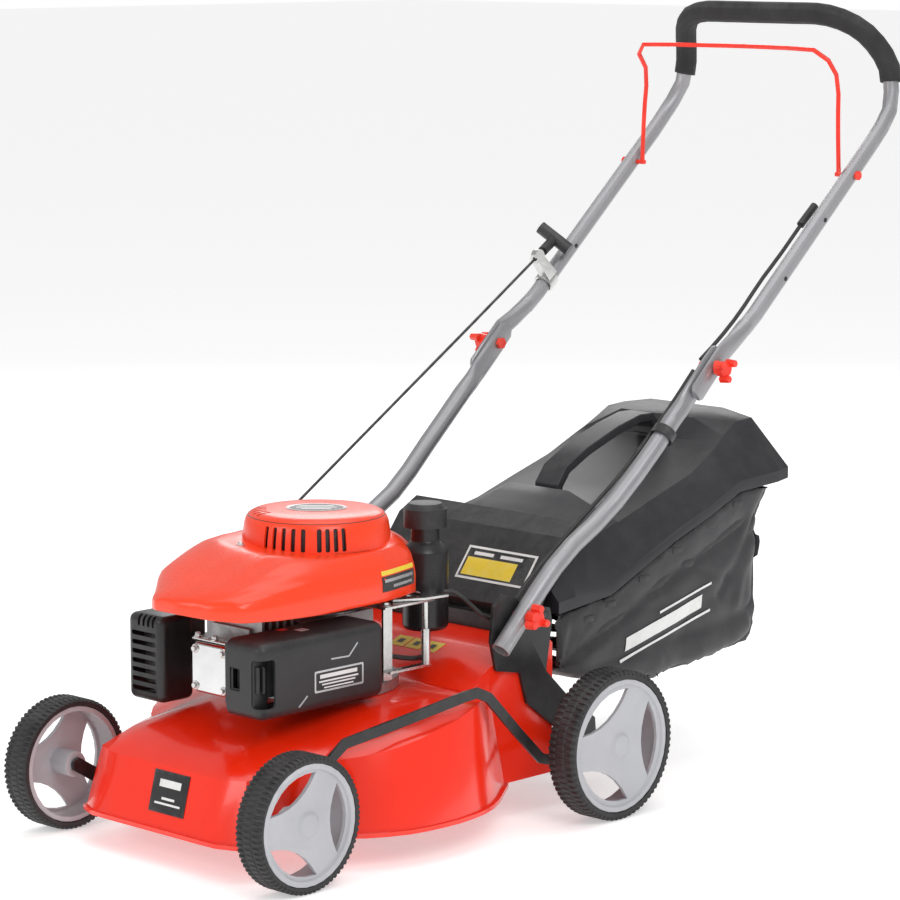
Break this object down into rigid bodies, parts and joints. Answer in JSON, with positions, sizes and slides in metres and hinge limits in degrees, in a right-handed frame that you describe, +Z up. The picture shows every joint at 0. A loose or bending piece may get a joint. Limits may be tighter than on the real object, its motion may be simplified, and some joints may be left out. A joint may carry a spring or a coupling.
{
  "type": "push lawn mower",
  "caption": "Petrol push lawn mower: pressed red deck on height-linked wheels, vertical-shaft engine, folding tube handle with bail, recoil starter and rear grass catcher.",
  "frame": {"origin": "middle of the machine's footprint on the ground, under the centre of its bounding box", "axes": "+Z up, -Y towards the front of the machine (the exhaust and nose end), +X towards its air-filter side"},
  "size_m": [0.494, 1.1448, 0.9301],
  "materials": {
    "red_paint": "glossy red enamel",
    "red_plastic": "semi-gloss moulded red",
    "black_steel": "satin black paint",
    "black_plastic": "fine-grained black moulding",
    "tank_plastic": "smooth black blow-moulded plastic",
    "hose_rubber": "smooth black rubber",
    "hub_plastic": "light grey moulding",
    "tyre": "black moulded tread",
    "tube_steel": "silver powder coat",
    "bright_steel": "zinc plated",
    "cast_alloy": "as cast",
    "muffler_steel": "heat-darkened pressing",
    "blade_steel": "dark grey paint, ground edges",
    "foam": "closed-cell foam",
    "filter_foam": "open-cell filter foam",
    "bag_fabric": "woven polyester with a dull sheen",
    "rope": "braided cord"
  },
  "bodies": {
    "deck": {"deck_shell": "red_paint", "rear_bracket_left": "black_steel", "rear_bracket_right": "black_steel", "height_quadrant": "bright_steel", "flap_hinge_bar": "black_plastic", "crankcase": "cast_alloy", "cylinder_head": "cast_alloy", "rocker_cover": "bright_steel", "muffler_guard": "black_steel", "muffler": "muffler_steel", "carburettor": "cast_alloy", "air_filter_base": "black_plastic", "air_filter_element": "filter_foam", "fuel_tank": "tank_plastic", "fuel_hose": "hose_rubber", "engine_shroud": "red_plastic", "recoil_cover": "red_plastic", "control_bracket": "bright_steel", "brake_cable_engine": "black_plastic", "starter_rope_lower": "rope"},
    "front_crank": {"front_crank_axle": "black_steel"},
    "rear_crank": {"rear_crank_axle": "black_steel", "height_lever": "black_plastic"},
    "link_bar": {"height_link_bar": "black_steel"},
    "wheel_front_left": {"wheel_hub_front_left": "hub_plastic", "tyre_front_left": "tyre"},
    "wheel_front_right": {"wheel_hub_front_right": "hub_plastic", "tyre_front_right": "tyre"},
    "wheel_rear_left": {"wheel_hub_rear_left": "hub_plastic", "tyre_rear_left": "tyre"},
    "wheel_rear_right": {"wheel_hub_rear_right": "hub_plastic", "tyre_rear_right": "tyre"},
    "lower_handle": {"lower_tube_left": "tube_steel", "lower_tube_right": "tube_steel", "brake_cable_lower": "black_plastic"},
    "lower_knob_left": {"lower_knob_left": "red_plastic"},
    "lower_knob_right": {"lower_knob_right": "red_plastic"},
    "middle_knob_left": {"middle_knob_left": "red_plastic"},
    "middle_knob_right": {"middle_knob_right": "red_plastic"},
    "upper_handle": {"upper_handle": "tube_steel", "grip_foam": "foam", "rope_guide": "bright_steel", "brake_cable_upper": "black_plastic", "starter_rope_upper": "rope"},
    "bail": {"bail": "red_paint"},
    "brake_lever": {"brake_lever": "bright_steel"},
    "starter_grip": {"starter_grip": "black_plastic", "starter_rope_tail": "rope"},
    "recoil_pulley": {"recoil_pulley": "black_plastic"},
    "crankshaft": {"crankshaft": "bright_steel", "flywheel": "cast_alloy", "blade": "blade_steel", "blade_bolt": "bright_steel"},
    "rear_flap": {"rear_flap": "black_plastic"},
    "catcher": {"catcher_lid": "black_plastic", "catcher_handle": "black_plastic", "catcher_bag": "bag_fabric", "catcher_frame": "black_steel"},
    "fuel_cap": {"fuel_cap": "black_plastic"},
    "air_filter_cover": {"air_filter_cover": "black_plastic"}
  },
  "joints": [
    {"name": "height_adjust", "type": "hinge", "parent": "deck", "child": "rear_crank", "pos_m": [0, 0.0052, 0.06574], "axis": [1, 0, 0], "range_deg": [0, 60]},
    {"name": "front_crank_turn", "type": "hinge", "parent": "deck", "child": "front_crank", "pos_m": [0, -0.4608, 0.05374], "axis": [1, 0, 0], "range_deg": [0, 60]},
    {"name": "link_bar_pivot", "type": "hinge", "parent": "front_crank", "child": "link_bar", "pos_m": [0.167, -0.44554, 0.0442], "axis": [1, 0, 0], "range_deg": [-60, 0]},
    {"name": "front_left_wheel_spin", "type": "hinge", "parent": "front_crank", "child": "wheel_front_left", "pos_m": [0.195, -0.49642, 0.076], "axis": [1, 0, 0], "continuous": true},
    {"name": "front_right_wheel_spin", "type": "hinge", "parent": "front_crank", "child": "wheel_front_right", "pos_m": [-0.195, -0.49642, 0.076], "axis": [1, 0, 0], "continuous": true},
    {"name": "rear_left_wheel_spin", "type": "hinge", "parent": "rear_crank", "child": "wheel_rear_left", "pos_m": [0.228, -0.03042, 0.088], "axis": [1, 0, 0], "continuous": true},
    {"name": "rear_right_wheel_spin", "type": "hinge", "parent": "rear_crank", "child": "wheel_rear_right", "pos_m": [-0.228, -0.03042, 0.088], "axis": [1, 0, 0], "continuous": true},
    {"name": "lower_handle_fold", "type": "hinge", "parent": "deck", "child": "lower_handle", "pos_m": [0, -0.11442, 0.242], "axis": [-1, 0, 0], "range_deg": [-110, 0], "deforming": ["starter_rope_lower", "brake_cable_lower", "brake_cable_engine"]},
    {"name": "upper_handle_fold", "type": "hinge", "parent": "lower_handle", "child": "upper_handle", "pos_m": [0, 0.20158, 0.502], "axis": [1, 0, 0], "range_deg": [0, 135], "deforming": ["starter_rope_upper", "brake_cable_upper"]},
    {"name": "lower_left_knob_turn", "type": "hinge", "parent": "lower_handle", "child": "lower_knob_left", "pos_m": [0.186, -0.11442, 0.242], "axis": [1, 0, 0], "range_deg": [-180, 180]},
    {"name": "lower_right_knob_turn", "type": "hinge", "parent": "lower_handle", "child": "lower_knob_right", "pos_m": [-0.186, -0.11442, 0.242], "axis": [1, 0, 0], "range_deg": [-180, 180]},
    {"name": "middle_left_knob_turn", "type": "hinge", "parent": "lower_handle", "child": "middle_knob_left", "pos_m": [0.196, 0.20158, 0.502], "axis": [1, 0, 0], "range_deg": [-180, 180]},
    {"name": "middle_right_knob_turn", "type": "hinge", "parent": "lower_handle", "child": "middle_knob_right", "pos_m": [-0.196, 0.20158, 0.502], "axis": [1, 0, 0], "range_deg": [-180, 180]},
    {"name": "bail_squeeze", "type": "hinge", "parent": "upper_handle", "child": "bail", "pos_m": [0, 0.46558, 0.719], "axis": [-1, 0, 0], "range_deg": [0, 22], "stiffness_Nm_per_rad": 2, "springref_deg": -17.19},
    {"name": "brake_lever_swing", "type": "hinge", "parent": "deck", "child": "brake_lever", "pos_m": [0.078, -0.23442, 0.262], "axis": [0, 0, 1], "range_deg": [-9, 0]},
    {"name": "starter_pull", "type": "slide", "parent": "upper_handle", "child": "starter_grip", "axis": [-0.13, 0.66, 0.74], "range_m": [0, 0.3], "stiffness_N_per_m": 30, "springref_m": -0.15, "deforming": ["starter_rope_tail"]},
    {"name": "recoil_pulley_turn", "type": "hinge", "parent": "deck", "child": "recoil_pulley", "pos_m": [0.003, -0.28442, 0.316], "axis": [0, 0, 1], "range_deg": [0, 495]},
    {"name": "crankshaft_spin", "type": "hinge", "parent": "deck", "child": "crankshaft", "pos_m": [0.003, -0.28442, 0.1], "axis": [0, 0, 1], "continuous": true},
    {"name": "rear_flap_lift", "type": "hinge", "parent": "deck", "child": "rear_flap", "pos_m": [0, -0.06242, 0.234], "axis": [1, 0, 0], "range_deg": [0, 40], "stiffness_Nm_per_rad": 0.4, "springref_deg": -28.65},
    {"name": "catcher_lift_off", "type": "slide", "parent": "deck", "child": "catcher", "axis": [0, 1, 0], "range_m": [0, 0.2]},
    {"name": "fuel_cap_turn", "type": "hinge", "parent": "deck", "child": "fuel_cap", "pos_m": [0.051, -0.15642, 0.35], "axis": [0, 0, 1], "range_deg": [0, 90]},
    {"name": "filter_cover_pull", "type": "slide", "parent": "deck", "child": "air_filter_cover", "axis": [1, 0, 0], "range_m": [0, 0.045]}
  ],
  "couplings": [
    {"joint": "front_crank_turn", "follows": "height_adjust", "ratio": 1},
    {"joint": "link_bar_pivot", "follows": "height_adjust", "ratio": -1},
    {"joint": "brake_lever_swing", "follows": "bail_squeeze", "ratio": -0.4},
    {"joint": "recoil_pulley_turn", "follows": "starter_pull", "rad_per_m": 28.571}
  ]
}
